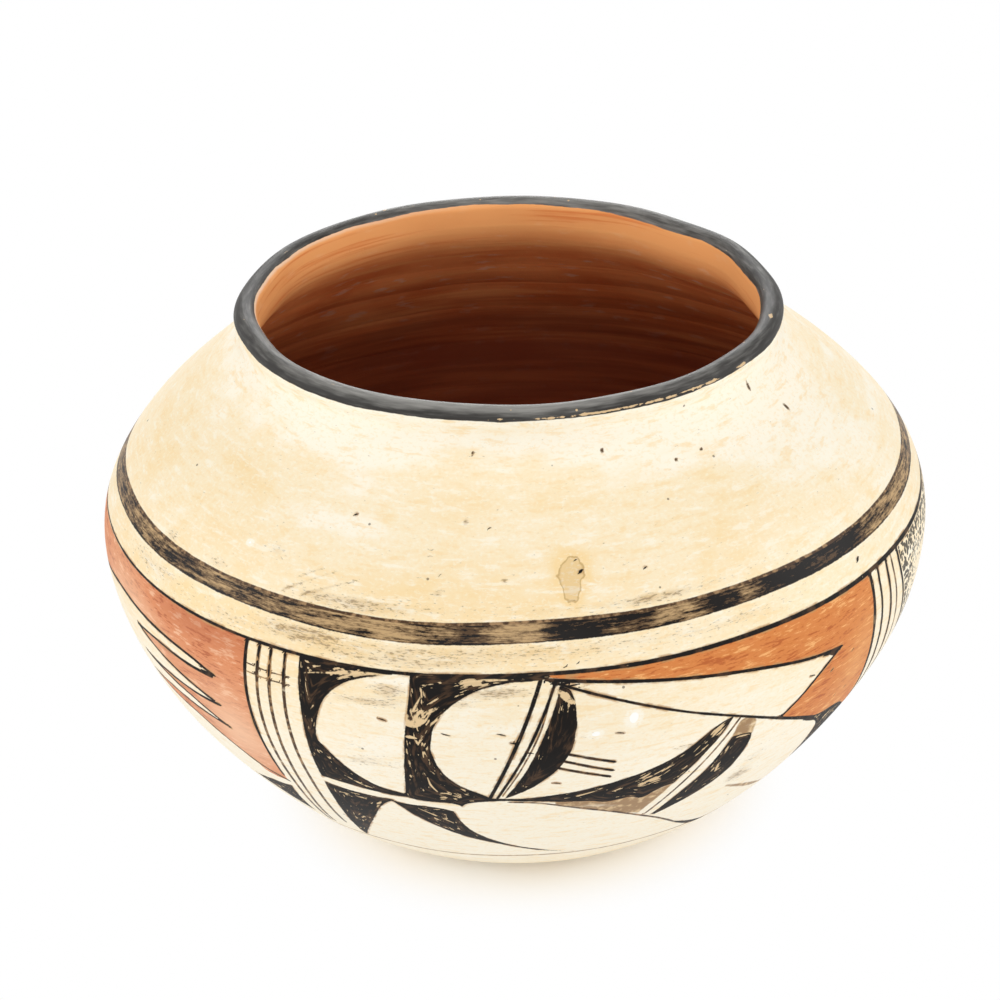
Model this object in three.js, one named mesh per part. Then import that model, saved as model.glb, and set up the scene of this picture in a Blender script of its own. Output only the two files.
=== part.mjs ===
// A hand-built jar of painted earthenware, in millimetres, +Z up.
// It stands on z = 0 with its axis on Z. The pieces are the pieces of clay that such a jar is
// raised from: a base pressed in a shallow mould, then one coil laid on another, each lapped
// down inside the one below it, and a last coil that is turned up and rounded for the lip.
import * as THREE from "three";

// Outline of the outside, from the foot up
const FOOT_RADIUS = 46; // edge of the flat that the jar stands on
const FOOT_ANGLE = THREE.MathUtils.degToRad(21); // rise of the wall where it leaves the foot
const FOOT_REACH = 31; // how far the wall keeps to that rise
const BELLY_RADIUS = 110;
const BELLY_HEIGHT = 85.2;
const BELLY_DROP = 29.4; // how far below the belly the wall stands nearly upright
const BELLY_RISE = 28.5; // the same above the belly
const SHOULDER_RISE = 53.2; // from the belly up to the neck
const NECK_RADIUS = 70.2;
const NECK_DROP = 9.4; // depth of the hollow curve that turns the shoulder up into the neck
const LIP_RISE = 3.65; // from the neck to the middle of the lip's bead
const LIP_RADIUS = 3.05; // half the width of the bead
const LIP_LEAN = 0.8; // how far the bead leans out from the middle of the wall
const LIP_UNDERCUT = THREE.MathUtils.degToRad(45); // where the bead leaves the neck, below level

// Walls
const FLOOR_THICKNESS = 7.2;
const FOOT_WALL = 7.4;
const BELLY_WALL = 6.0;
const NECK_WALL = 5.2;
const DISH_RADIUS = 33; // hollow under the base, inside the ring that touches the ground
const DISH_DEPTH = 1.6;

// Coils
const BASE_COURSE = 22; // outside height of the moulded base, measured along the wall
const RIM_COURSE = 14; // the same for the rim coil, up to the neck
const LOWER_COILS = 5;
const SHOULDER_COILS = 3;
const LAP = 6; // how far a coil reaches down inside the one below
const LAP_CROWN = 0.8; // rise of the thumbed seat above a straight bevel
const COIL_SWELL = 0.5; // bulge that each smoothed coil leaves on the inside

// Facets
const TURN_STEPS = 60;
const COURSE_STEPS = 3;
const LIP_STEPS = 7;
const DISH_STEPS = 3;

const CLAY = { color: 0xd9763f, roughness: 0.75, metalness: 0 };
const SLIP = { color: 0xf0ddb4, roughness: 0.45, metalness: 0 };
const RIM_PAINT = { color: 0x2b2725, roughness: 0.5, metalness: 0 };

// The outside as one path: a swelling lower wall, then a shoulder that turns up into the neck.
function outsidePath() {
  const foot = new THREE.Vector2(FOOT_RADIUS, 0);
  const belly = new THREE.Vector2(BELLY_RADIUS, BELLY_HEIGHT);
  const neck = new THREE.Vector2(NECK_RADIUS, BELLY_HEIGHT + SHOULDER_RISE);
  const path = new THREE.CurvePath();
  path.add(
    new THREE.CubicBezierCurve(
      foot,
      new THREE.Vector2(
        FOOT_RADIUS + FOOT_REACH * Math.cos(FOOT_ANGLE),
        FOOT_REACH * Math.sin(FOOT_ANGLE),
      ),
      new THREE.Vector2(BELLY_RADIUS, BELLY_HEIGHT - BELLY_DROP),
      belly,
    ),
  );
  path.add(
    new THREE.CubicBezierCurve(
      belly,
      new THREE.Vector2(BELLY_RADIUS, BELLY_HEIGHT + BELLY_RISE),
      new THREE.Vector2(NECK_RADIUS, neck.y - NECK_DROP),
      neck,
    ),
  );
  return path;
}

const outside = outsidePath();
const [lowerLength, wholeLength] = outside.getCurveLengths();

// A point on the outside, at a distance along the wall from the foot.
function outer(along) {
  return outside.getPointAt(along / wholeLength);
}

// The wall thins from the foot to the belly and again to the neck.
function wallAt(along) {
  return along < lowerLength
    ? THREE.MathUtils.lerp(FOOT_WALL, BELLY_WALL, along / lowerLength)
    : THREE.MathUtils.lerp(
        BELLY_WALL,
        NECK_WALL,
        (along - lowerLength) / (wholeLength - lowerLength),
      );
}

// A point on the inside, square through the wall from the outside, thicker by a swell.
function inner(along, swell = 0) {
  const tangent = outside.getTangentAt(along / wholeLength);
  const inward = new THREE.Vector2(-tangent.y, tangent.x);
  return outer(along).addScaledVector(inward, wallAt(along) + swell);
}

// Points of the outside or the inside from one distance to another, both ends included.
function outerRun(from, to) {
  return run(from, to, (along) => outer(along));
}

function innerRun(from, to) {
  return run(from, to, (along, share) =>
    inner(along, COIL_SWELL * Math.sin(Math.PI * share)),
  );
}

function run(from, to, pointAt) {
  return Array.from({ length: COURSE_STEPS + 1 }, (_, i) => {
    const share = i / COURSE_STEPS;
    return pointAt(THREE.MathUtils.lerp(from, to, share), share);
  });
}

// The seat between two pieces of clay, crowned by the thumb: its middle point only, because
// its ends are the ends of the runs. The piece below and the piece above share it.
function seatCrown(along) {
  const outerEnd = outer(along);
  const innerEnd = inner(along - LAP);
  const slope = new THREE.Vector2().subVectors(innerEnd, outerEnd).normalize();
  const up = new THREE.Vector2(slope.y, -slope.x);
  return outerEnd.lerp(innerEnd, 0.5).addScaledVector(up, LAP_CROWN);
}

// A solid of revolution about Z from a profile of (radius, height) points. A closed ring
// repeats its first point.
function turned(name, profile, finish) {
  const geometry = new THREE.LatheGeometry(profile, TURN_STEPS);
  geometry.rotateX(Math.PI / 2);
  const mesh = new THREE.Mesh(geometry, new THREE.MeshStandardMaterial(finish));
  mesh.name = name;
  return mesh;
}

// The moulded base: a dished underside, the lower wall as far as its lap, and the floor.
function base() {
  const dish = Array.from({ length: DISH_STEPS + 1 }, (_, i) => {
    const share = i / DISH_STEPS;
    return new THREE.Vector2(DISH_RADIUS * share, DISH_DEPTH * (1 - share * share));
  });
  const profile = [
    ...dish,
    ...outerRun(0, BASE_COURSE),
    seatCrown(BASE_COURSE),
    ...innerRun(0, BASE_COURSE - LAP).reverse(),
    new THREE.Vector2(0, FLOOR_THICKNESS),
  ];
  return turned("base", profile, CLAY);
}

// One coil of the wall: up the outside, in across its top seat, and down the inside.
function coil(name, from, to) {
  const profile = [
    ...outerRun(from, to),
    seatCrown(to),
    ...innerRun(from - LAP, to - LAP).reverse(),
    seatCrown(from),
    outer(from),
  ];
  return turned(name, profile, SLIP);
}

// The rim coil: it turns up through the neck, and ends in a rounded bead that leans out.
function rim(from) {
  const neck = outer(wholeLength);
  const bead = new THREE.Vector2(
    neck.x - NECK_WALL / 2 + LIP_LEAN,
    neck.y + LIP_RISE,
  );
  const lip = Array.from({ length: LIP_STEPS + 1 }, (_, i) => {
    const turn = THREE.MathUtils.lerp(-LIP_UNDERCUT, Math.PI, i / LIP_STEPS);
    return new THREE.Vector2(
      bead.x + LIP_RADIUS * Math.cos(turn),
      bead.y + LIP_RADIUS * Math.sin(turn),
    );
  });
  const profile = [
    ...outerRun(from, wholeLength),
    ...lip,
    ...innerRun(from - LAP, wholeLength).reverse(),
    seatCrown(from),
    outer(from),
  ];
  return turned("rim_coil", profile, RIM_PAINT);
}

// The names of the wall's coils, from the base up.
function coilNames() {
  const numbered = (stem, count) =>
    Array.from({ length: count }, (_, i) => stem + "_" + (i + 1));
  return [
    ...numbered("wall_coil", LOWER_COILS),
    "belly_coil",
    ...numbered("shoulder_coil", SHOULDER_COILS),
  ];
}

function jar() {
  const group = new THREE.Group();
  const names = coilNames();
  const rimStart = wholeLength - RIM_COURSE;
  const course = (rimStart - BASE_COURSE) / names.length;
  group.add(base());
  names.forEach((name, i) => {
    const from = BASE_COURSE + course * i;
    const to = i === names.length - 1 ? rimStart : BASE_COURSE + course * (i + 1);
    group.add(coil(name, from, to));
  });
  group.add(rim(rimStart));
  return group;
}

export default jar();
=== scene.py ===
import math

import bmesh
import bpy
import numpy as np
from mathutils import Matrix, Vector


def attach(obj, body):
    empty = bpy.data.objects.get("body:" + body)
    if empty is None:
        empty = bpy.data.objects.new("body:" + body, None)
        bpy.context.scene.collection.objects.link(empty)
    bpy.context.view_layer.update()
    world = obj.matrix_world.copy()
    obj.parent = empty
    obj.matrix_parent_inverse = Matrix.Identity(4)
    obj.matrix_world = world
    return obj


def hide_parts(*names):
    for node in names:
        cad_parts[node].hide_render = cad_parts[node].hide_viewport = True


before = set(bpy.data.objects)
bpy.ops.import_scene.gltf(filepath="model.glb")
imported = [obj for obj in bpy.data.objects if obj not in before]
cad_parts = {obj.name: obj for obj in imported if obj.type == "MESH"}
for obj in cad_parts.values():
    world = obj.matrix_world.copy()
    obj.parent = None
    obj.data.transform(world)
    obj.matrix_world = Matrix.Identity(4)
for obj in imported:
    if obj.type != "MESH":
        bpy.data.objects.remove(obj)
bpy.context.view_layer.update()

# The camera
# The photograph looks down on the jar from in front, near enough for the belly to hide the
# foot. The camera is rolled a little, and the jar stands slightly right of the middle.
CAMERA_DISTANCE = 0.650
CAMERA_RISE = math.radians(27.73)
CAMERA_ROLL = math.radians(2.015)
CAMERA_TARGET_HEIGHT = 0.0842
CAMERA_LENS = 86.35
JAR_RIGHT_OF_MIDDLE = 0.01433  # as a share of the picture's width


def placed(name, data):
    """A new object in the scene that shows this data."""
    thing = bpy.data.objects.new(name, data)
    bpy.context.scene.collection.objects.link(thing)
    return thing


camera_data = bpy.data.cameras.new("camera")
camera_data.lens = CAMERA_LENS
camera_data.shift_x = -JAR_RIGHT_OF_MIDDLE
camera_data.clip_start = 0.01
camera = placed("camera", camera_data)
towards_camera = Vector((0, -math.cos(CAMERA_RISE), math.sin(CAMERA_RISE)))
level = towards_camera.to_track_quat("Z", "Y").to_matrix()
rolled = level @ Matrix.Rotation(-CAMERA_ROLL, 3, "Z")
stand = Vector((0, 0, CAMERA_TARGET_HEIGHT)) + CAMERA_DISTANCE * towards_camera
camera.matrix_world = Matrix.Translation(stand) @ rolled.to_4x4()
bpy.context.scene.camera = camera


# The moulded base
# A disc of clay pressed into a shallow mould gives the floor, the foot and the first of the
# wall. Its underside is wiped bare clay, a little dished; its outside takes the slip. The
# outline below is the whole jar's, because the coils go on with the line that the base begins.
MM = 0.001
FOOT_RADIUS = 46 * MM
FOOT_ANGLE = math.radians(21)
FOOT_REACH = 31 * MM
BELLY_RADIUS = 110 * MM
BELLY_HEIGHT = 85.2 * MM
BELLY_DROP = 29.4 * MM
BELLY_RISE = 28.5 * MM
NECK_HEIGHT = BELLY_HEIGHT + 53.2 * MM
NECK_RADIUS = 70.2 * MM
NECK_DROP = 9.4 * MM
WALL_THICKNESS = [7.4 * MM, 6.0 * MM, 5.2 * MM]  # at the foot, the belly and the neck
FLOOR_THICKNESS = 7.2 * MM
DISH_RADIUS = 33 * MM
DISH_DEPTH = 1.6 * MM
BASE_COURSE = 22 * MM
LAP = 6 * MM
LAP_CROWN = 0.8 * MM
OUTSIDE_ROW, INSIDE_ROW, FOOT_ROW = 0.55 * MM, 1.6 * MM, 1.5 * MM  # the grid's own steps
BASE_COLUMNS = 720


def bezier(points, steps=1500):
    """A cubic curve: its four points weighed by (1-t)^3, 3(1-t)^2 t, 3(1-t) t^2 and t^3."""
    t = np.linspace(0, 1, steps)[:, None]
    a, b, c, d = np.array(points)
    return (1 - t) ** 3 * a + 3 * (1 - t) ** 2 * t * b + 3 * (1 - t) * t**2 * c + t**3 * d


lower_wall = bezier([
    (FOOT_RADIUS, 0),
    (FOOT_RADIUS + FOOT_REACH * math.cos(FOOT_ANGLE), FOOT_REACH * math.sin(FOOT_ANGLE)),
    (BELLY_RADIUS, BELLY_HEIGHT - BELLY_DROP),
    (BELLY_RADIUS, BELLY_HEIGHT),
])
upper_wall = bezier([
    (BELLY_RADIUS, BELLY_HEIGHT),
    (BELLY_RADIUS, BELLY_HEIGHT + BELLY_RISE),
    (NECK_RADIUS, NECK_HEIGHT - NECK_DROP),
    (NECK_RADIUS, NECK_HEIGHT),
])
wall_line = np.vstack([lower_wall, upper_wall[1:]])
wall_run = np.concatenate([[0], np.cumsum(np.hypot(*np.diff(wall_line, axis=0).T))])
wall_length = wall_run[-1]
belly_run = wall_run[len(lower_wall) - 1]


def outer(along):
    """(radius, height) on the outside at distances along the wall, read off the outline."""
    return np.stack([np.interp(along, wall_run, wall_line[:, k]) for k in (0, 1)], -1)


def inner(along, swell=0.0):
    """The outside moved into the wall, square to its slope, by a thickness that runs evenly
    from foot to belly to neck, and by a swell."""
    step = 0.2 * MM
    above, below = (np.clip(along + ahead, 0, wall_length) for ahead in (step, -step))
    slope = outer(above) - outer(below)
    slope = slope / np.linalg.norm(slope, axis=-1, keepdims=True)
    into_wall = np.stack([-slope[..., 1], slope[..., 0]], -1)
    thickness = np.interp(along, [0, belly_run, wall_length], WALL_THICKNESS) + swell
    return outer(along) + into_wall * np.asarray(thickness)[..., None]


def seat_crown(along):
    """The middle of a lapped seat: halfway from its outer end to its inner end, which lies
    lower by the lap, and raised square to that slope."""
    outer_end, inner_end = outer(along), inner(along - LAP)
    slope = (inner_end - outer_end) / np.linalg.norm(inner_end - outer_end)
    return (outer_end + inner_end) / 2 + LAP_CROWN * np.array([slope[1], -slope[0]])


# Waves that the hand leaves in the clay: each goes a whole number of times round the jar.
hand = np.random.default_rng(7)
WAVE_COUNT = 26
WAVE_SIZE = 0.08 * MM  # of the slowest waves
WAVE_REACH = 22 * MM  # in this distance up the wall the steepest wave moves on by two radians
wave_turns = hand.integers(1, 15, WAVE_COUNT)
wave_rises = hand.uniform(-2, 2, WAVE_COUNT) / WAVE_REACH
wave_starts = hand.uniform(0, 2 * np.pi, WAVE_COUNT)
wave_sizes = WAVE_SIZE / np.sqrt(1 + wave_turns / 4)
FOOT_HELD_FLAT = 12 * MM  # up to this height the waves die away towards the ground
LIP_STRAYS_FROM = 145 * MM  # distance along the wall where the lip's own unevenness begins
ON_AXIS = 1e-6  # a smaller radius is the axis itself


def hand_made(turn, along, height, looseness):
    """How far the hand-built wall strays from a true round, outwards and upwards: a sum of
    cosine waves in turn and distance, and near the lip the slow waves of its uneven edge,
    whose sizes are in millimetres."""
    out = np.zeros(np.broadcast(turn, along).shape)
    for turns, rise, start, size in zip(wave_turns, wave_rises, wave_starts, wave_sizes):
        out += size * np.cos(turns * turn + rise * along + start)
    out *= looseness * np.clip(height / FOOT_HELD_FLAT, 0, 1)
    near_lip = np.clip((along - LIP_STRAYS_FROM) / (wall_length - LIP_STRAYS_FROM), 0, 1)
    near_lip = near_lip**2 * (3 - 2 * near_lip)
    lip_out = -0.51 * np.cos(2 * turn) - 0.58 * np.sin(2 * turn)
    lip_out += 0.14 * np.cos(3 * turn) + 0.14 * np.sin(3 * turn)
    lip_up = 0.19 * np.sin(turn) - 0.60 * np.cos(turn)
    lip_up += 0.07 * np.sin(2 * turn) - 0.33 * np.cos(2 * turn)
    return out + lip_out * MM * near_lip, lip_up * MM * near_lip


def turned_piece(name, profile, along, looseness, columns, strips, room, outside, crisp):
    """A profile of (radius, height) points carried round the axis on an even grid of turns,
    each point moved as hand_made says. The first column faces the front. The profile joins its
    last point to its first, unless it begins and ends on the axis. The rows of faces in the
    range `outside` take the first finish and the others the second; the rings of edges at the
    crisp rows are sharp."""
    turn = np.arange(columns) * 2 * np.pi / columns - np.pi / 2
    radius, height = profile[:, :1], profile[:, 1:]
    out, up = hand_made(turn[None, :], along[:, None], height, looseness[:, None])
    radius = radius + np.where(radius > ON_AXIS, out, 0)
    height = height + up
    grid = np.stack([radius * np.cos(turn), radius * np.sin(turn), height], -1)
    rows = len(profile)
    face_rows = rows if profile[0, 0] > ON_AXIS else rows - 1
    row, column = np.indices((face_rows, columns)).reshape(2, -1)
    above, beside = (row + 1) % rows * columns, (column + 1) % columns
    low = row * columns
    quads = np.stack([low + column, low + beside, above + beside, above + column], -1)
    mesh = bpy.data.meshes.new(name)
    mesh.vertices.add(rows * columns)
    mesh.vertices.foreach_set("co", grid.astype(np.float32).ravel())
    mesh.loops.add(quads.size)
    mesh.loops.foreach_set("vertex_index", quads.astype(np.int32).ravel())
    mesh.polygons.add(len(quads))
    mesh.polygons.foreach_set("loop_start", np.arange(0, quads.size, 4, dtype=np.int32))
    mesh.polygons.foreach_set("use_smooth", np.ones(len(quads), bool))
    mesh.polygons.foreach_set("material_index", 1 - np.isin(row, outside).astype(np.int32))
    mesh.update(calc_edges=True)
    length = np.hypot(*(np.roll(profile, -1, axis=0) - profile).T)[:face_rows]
    lay_out(mesh, row, column, columns, length * room, strips)
    keep_crisp(mesh, crisp, columns)
    return placed(name, mesh)


def lay_out(mesh, row, column, columns, room, strips):
    """A UV map that cuts the ring into strips and lays them one above another: across a strip
    goes the turn, and up it go the profile's rows, each as high as the room it is given."""
    margin = 0.006  # as a share of the map
    per_strip = columns // strips
    strip, left = column // per_strip, column % per_strip
    share = np.concatenate([[0], np.cumsum(room)]) / np.sum(room)
    across = np.stack([left, left + 1, left + 1, left], -1) / per_strip
    upward = np.stack([share[row], share[row], share[row + 1], share[row + 1]], -1)
    inset = np.stack([across, upward], -1) * (1 - 2 * margin) + margin
    inset[..., 1] = (inset[..., 1] + strip[:, None]) / strips
    layer = mesh.uv_layers.new(name="OFBake")
    layer.uv.foreach_set("vector", inset.astype(np.float32).ravel())


def keep_crisp(mesh, sharp_rows, columns):
    """Marks the rings of edges at these profile rows as sharp: both ends lie in one row."""
    ends = np.empty(len(mesh.edges) * 2, np.int32)
    mesh.edges.foreach_get("vertices", ends)
    rows = ends.reshape(-1, 2) // columns
    sharp = (rows[:, 0] == rows[:, 1]) & np.isin(rows[:, 0], sharp_rows)
    crisp = mesh.attributes.new("sharp_edge", "BOOLEAN", "EDGE")
    crisp.data.foreach_set("value", sharp)


def keep_number(piece, name, values):
    """Keeps one number for each vertex of a piece, for its finish to read."""
    kept = piece.data.attributes.new(name, "FLOAT", "POINT")
    kept.data.foreach_set("value", np.asarray(values, np.float32).ravel())


def spaced(start, end, step):
    """Even distances from start to end, both included, about a step apart."""
    return np.linspace(start, end, max(2, math.ceil(abs(end - start) / step) + 1))


dish_radii = spaced(0, DISH_RADIUS, FOOT_ROW)
dish = np.stack([dish_radii, DISH_DEPTH * (1 - (dish_radii / DISH_RADIUS) ** 2)], -1)
foot_ring = np.stack([spaced(DISH_RADIUS, FOOT_RADIUS, FOOT_ROW)[1:-1]] * 2, -1) * [1, 0]
outside_run = spaced(0, BASE_COURSE, OUTSIDE_ROW)
inside_run = spaced(BASE_COURSE - LAP, 0, INSIDE_ROW)
floor_edge = inner(0.0)
floor_share = spaced(0, 1, 0.04)[1:, None]
floor = floor_edge * (1 - floor_share) + np.array([0, FLOOR_THICKNESS]) * floor_share
base_profile = np.vstack([
    dish, foot_ring, outer(outside_run), seat_crown(BASE_COURSE), inner(inside_run), floor,
])
under_rows = len(dish) + len(foot_ring)
outside_rows = under_rows + len(outside_run)
base_along = np.zeros(len(base_profile))
base_along[under_rows:outside_rows] = outside_run
base_along[outside_rows] = BASE_COURSE - LAP / 2
base_along[outside_rows + 1:outside_rows + 1 + len(inside_run)] = inside_run
base_looseness = np.where(np.arange(len(base_profile)) < outside_rows, 1.0, 2.0)
base_looseness[outside_rows] = 1.5

base = turned_piece(
    "painted_base", base_profile, base_along, base_looseness, BASE_COLUMNS, strips=3, room=1.0,
    outside=range(under_rows - 1, outside_rows - 1), crisp=[outside_rows - 1, outside_rows + 1],
)


def weld(piece):
    """Joins the vertices that lie on one spot, which closes the grid where it meets the axis."""
    worked = bmesh.new()
    worked.from_mesh(piece.data)
    bmesh.ops.remove_doubles(worked, verts=worked.verts, dist=1e-7)
    worked.to_mesh(piece.data)
    worked.free()


weld(base)
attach(base, "root")
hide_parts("base")


# The coils of the wall
# Rolled ropes of clay, each lapped down inside the one below, pinched thin and scraped
# smooth. Outside the joins are rubbed away under the slip; inside, a soft swell is left of
# each coil.
RIM_COURSE = 14 * MM
COIL_SWELL = 0.5 * MM
PLAIN_COLUMNS = 720
PAINTED_COLUMNS = 1200
COIL_NAMES = [f"wall_coil_{n}" for n in range(1, 6)] + ["belly_coil"]
COIL_NAMES += [f"shoulder_coil_{n}" for n in range(1, 4)]
PAINTED_FROM, PAINTED_TO = 38 * MM, 152 * MM  # the painted band, along the wall
SEAT_ROOM, INSIDE_ROOM = 0.15, 0.5  # room on the UV map, as a share of the outside's


def coil_outline(start, end):
    """One coil's closed outline: up the outside, in over the crown of its upper seat, down the
    inside with half a sine wave of swell, and out over the crown of its lower seat."""
    up_outside = spaced(start, end, OUTSIDE_ROW)
    down_inside = spaced(end - LAP, start - LAP, INSIDE_ROW)
    swell = COIL_SWELL * np.sin(np.pi * np.linspace(0, 1, len(down_inside)))
    points = np.vstack([
        outer(up_outside), seat_crown(end), inner(down_inside, swell), seat_crown(start),
    ])
    along = np.concatenate([up_outside, [end - LAP / 2], down_inside, [start - LAP / 2]])
    return points, along, [len(up_outside), 1, len(down_inside), 1]


rim_start = wall_length - RIM_COURSE
course = (rim_start - BASE_COURSE) / len(COIL_NAMES)
coils = {}
for number, name in enumerate(COIL_NAMES):
    start, end = BASE_COURSE + course * number, BASE_COURSE + course * (number + 1)
    columns = PAINTED_COLUMNS if end > PAINTED_FROM and start < PAINTED_TO else PLAIN_COLUMNS
    points, along, counts = coil_outline(start, end)
    outside_top, inside_top, inside_end = np.cumsum(counts[:3]) - [1, 0, 1]
    room = np.repeat([1, SEAT_ROOM, INSIDE_ROOM, SEAT_ROOM], np.add(counts, [-1, 1, -1, 1]))
    coil = turned_piece(
        "painted_" + name, points, along, np.repeat([1.0, 1.5, 2.0, 1.5], counts), columns,
        strips=5, room=room, outside=range(outside_top),
        crisp=[0, outside_top, inside_top, inside_end],
    )
    coils[name] = (coil, along, counts, columns)
    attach(coil, "root")
    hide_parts(name)


# The rim coil
# The last rope is turned up through the neck, and its edge is rounded between wet fingers
# into a bead that leans a little outwards. The lip's paint goes over the bead.
LIP_RISE = 3.65 * MM
LIP_RADIUS = 3.05 * MM
LIP_LEAN = 0.8 * MM
LIP_UNDERCUT = math.radians(45)
LIP_STEPS = 36
RIM_INSIDE_ROOM = 0.7  # as INSIDE_ROOM, for the inside that shows
LIP_PAINT_OUTSIDE = math.radians(84)  # from the crest of the bead down its outside
LIP_PAINT_INSIDE = math.radians(66)  # the same inside, on average
LIP_PAINT_UNEVEN = math.radians(16)  # deeper on the right, less deep on the left

bead = np.array([NECK_RADIUS - WALL_THICKNESS[2] / 2 + LIP_LEAN, NECK_HEIGHT + LIP_RISE])
bead_turn = np.linspace(-LIP_UNDERCUT, math.pi, LIP_STEPS)
bead_points = bead + LIP_RADIUS * np.stack([np.cos(bead_turn), np.sin(bead_turn)], -1)
up_outside = spaced(rim_start, wall_length, OUTSIDE_ROW)
down_inside = spaced(wall_length, rim_start - LAP, INSIDE_ROW)
rim_profile = np.vstack([
    outer(up_outside), bead_points, inner(down_inside), seat_crown(rim_start),
])
rim_counts = [len(up_outside), LIP_STEPS, len(down_inside), 1]
rim_along = np.concatenate([
    up_outside, np.full(LIP_STEPS, wall_length), down_inside, [rim_start - LAP / 2],
])
rim_looseness = np.concatenate([
    np.ones(len(up_outside)), np.linspace(1, 2, LIP_STEPS), np.full(len(down_inside), 2.0), [1.5],
])
bead_end = rim_counts[0] + LIP_STEPS
inside_end = bead_end + rim_counts[2] - 1
rim_room = np.ones(len(rim_profile))
rim_room[bead_end:inside_end] = RIM_INSIDE_ROOM
rim_room[inside_end:] = SEAT_ROOM
rim = turned_piece(
    "painted_rim_coil", rim_profile, rim_along, rim_looseness, PAINTED_COLUMNS, strips=4,
    room=rim_room, outside=range(bead_end), crisp=[0, inside_end],
)
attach(rim, "root")
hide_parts("rim_coil")

# How far each row lies from the crest of the bead, outwards positive, in millimetres
FAR_INSIDE = -30.0
from_crest = np.full(len(rim_profile), FAR_INSIDE)
bead_start_drop = (math.pi / 2 + LIP_UNDERCUT) * LIP_RADIUS
from_crest[:rim_counts[0]] = (bead_start_drop + wall_length - up_outside) / MM
from_crest[rim_counts[0]:bead_end] = (math.pi / 2 - bead_turn) * LIP_RADIUS / MM
from_crest[bead_end:inside_end + 1] = (-math.pi / 2 * LIP_RADIUS - wall_length + down_inside) / MM
from_crest = np.repeat(from_crest[:, None], PAINTED_COLUMNS, axis=1)
rim_turn = np.arange(PAINTED_COLUMNS) * 2 * np.pi / PAINTED_COLUMNS - np.pi / 2
brush_slip = 0.10 * np.sin(5 * rim_turn) + 0.08 * np.sin(11 * rim_turn + 1)
brush_slip += 0.05 * np.sin(23 * rim_turn)
outside_edge = LIP_PAINT_OUTSIDE * LIP_RADIUS / MM + brush_slip
inside_edge = LIP_PAINT_INSIDE + LIP_PAINT_UNEVEN * np.cos(rim_turn + 0.5)
inside_edge = inside_edge * LIP_RADIUS / MM - 2 * brush_slip
keep_number(rim, "lip_paint", np.minimum(outside_edge - from_crest, from_crest + inside_edge))
keep_number(rim, "from_crest", from_crest)
keep_number(rim, "thin_wash", np.tile(np.clip(-np.cos(rim_turn), 0, 1), len(rim_profile)))
# Painted sheen on the lip's black, standing in for reflected light: most in front, less behind
painted_sheen = np.sin(rim_turn + 0.2) ** 2 * (0.84 - 0.22 * np.sin(rim_turn))
keep_number(rim, "painted_sheen", np.tile(painted_sheen, len(rim_profile)))
# The black is worn through along its outer edge from the front to the right, where the
# distance from the crest is 3.9 mm, and it is chipped in one spot at each side
edge_band = np.exp(-((from_crest - 3.9) / 0.35) ** 2)
lip_worn = edge_band * np.clip(np.cos(rim_turn + 1.15), 0, 1) ** 6
for turn, down in [(-0.28, 0.4), (-2.95, 1.2)]:
    lip_worn += 1.3 * np.exp(-((rim_turn - turn) / 0.022) ** 2 - ((from_crest - down) / 0.7) ** 2)
keep_number(rim, "lip_worn", lip_worn)


# The painting
# Black, brown and red mineral paint, laid on the slip with a chewed yucca leaf before the
# firing. Its places are in millimetres: round the belly from the front, to the right, and up
# the wall from the foot. The pattern fills half the round and is painted twice.
REPEAT = math.pi * BELLY_RADIUS / MM
NO_PAINT = -5.0
REACH = 3.0  # how far outside a shape its edge is still measured
FILLED = ["black", "red", "orange", "wash", "band", "stipple"]  # paints with filled shapes
DRAWN = ["black", "brown", "bare"]  # paints with lines; bare is slip left between brush marks

painted = [name for name in COIL_NAMES if coils[name][3] == PAINTED_COLUMNS]
up_wall = np.concatenate([coils[name][1][:coils[name][2][0]] for name in painted]) / MM
round_belly = np.arange(PAINTED_COLUMNS) * 2 * REPEAT / PAINTED_COLUMNS
narrowing = outer(up_wall * MM)[:, 0] / BELLY_RADIUS
wall_grid = (len(up_wall), PAINTED_COLUMNS)
filled = {kind: np.full(wall_grid, NO_PAINT) for kind in FILLED}
half_width = {kind: np.zeros(wall_grid) for kind in DRAWN}
across = {kind: np.full(wall_grid, -NO_PAINT) for kind in DRAWN}


def curve_through(points, step=1.2):
    """A smooth line through the points: a Catmull-Rom curve, one cubic between each two."""
    points = np.array(points, float)
    if len(points) < 3:
        return points
    ends = np.vstack([2 * points[0] - points[1], points, 2 * points[-1] - points[-2]])
    pieces = []
    for a, b, c, d in zip(ends, ends[1:], ends[2:], ends[3:]):
        count = max(1, round(np.linalg.norm(c - b) / step))
        t = (np.arange(count) / count)[:, None]
        bend = (2 * a - 5 * b + 4 * c - d) * t**2 + (3 * b - a - 3 * c + d) * t**3
        pieces.append(b + ((c - a) * t + bend) / 2)
    return np.vstack([*pieces, points[-1:]])


def from_place(place, apart=2 * REPEAT):
    """How far each column lies round the belly from a place, the shorter way, if the place
    comes again at a given distance."""
    return (round_belly - place + apart / 2) % apart - apart / 2


def around(line, apart):
    """The part of the wall's grid near a line, wherever it comes again: its rows and columns,
    the places of its spots, counted from the line itself, and how narrow the wall is there."""
    low, high = line.min(0) - REACH, line.max(0) + REACH
    middle = (low[0] + high[0]) / 2
    from_middle = from_place(middle, apart)
    columns = np.flatnonzero(abs(from_middle) < (high[0] - low[0]) / 2)
    rows = np.flatnonzero((up_wall > low[1]) & (up_wall < high[1]))
    spot = np.stack(np.meshgrid(middle + from_middle[columns], up_wall[rows]), -1)
    return np.ix_(rows, columns), spot, narrowing[rows]


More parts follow.
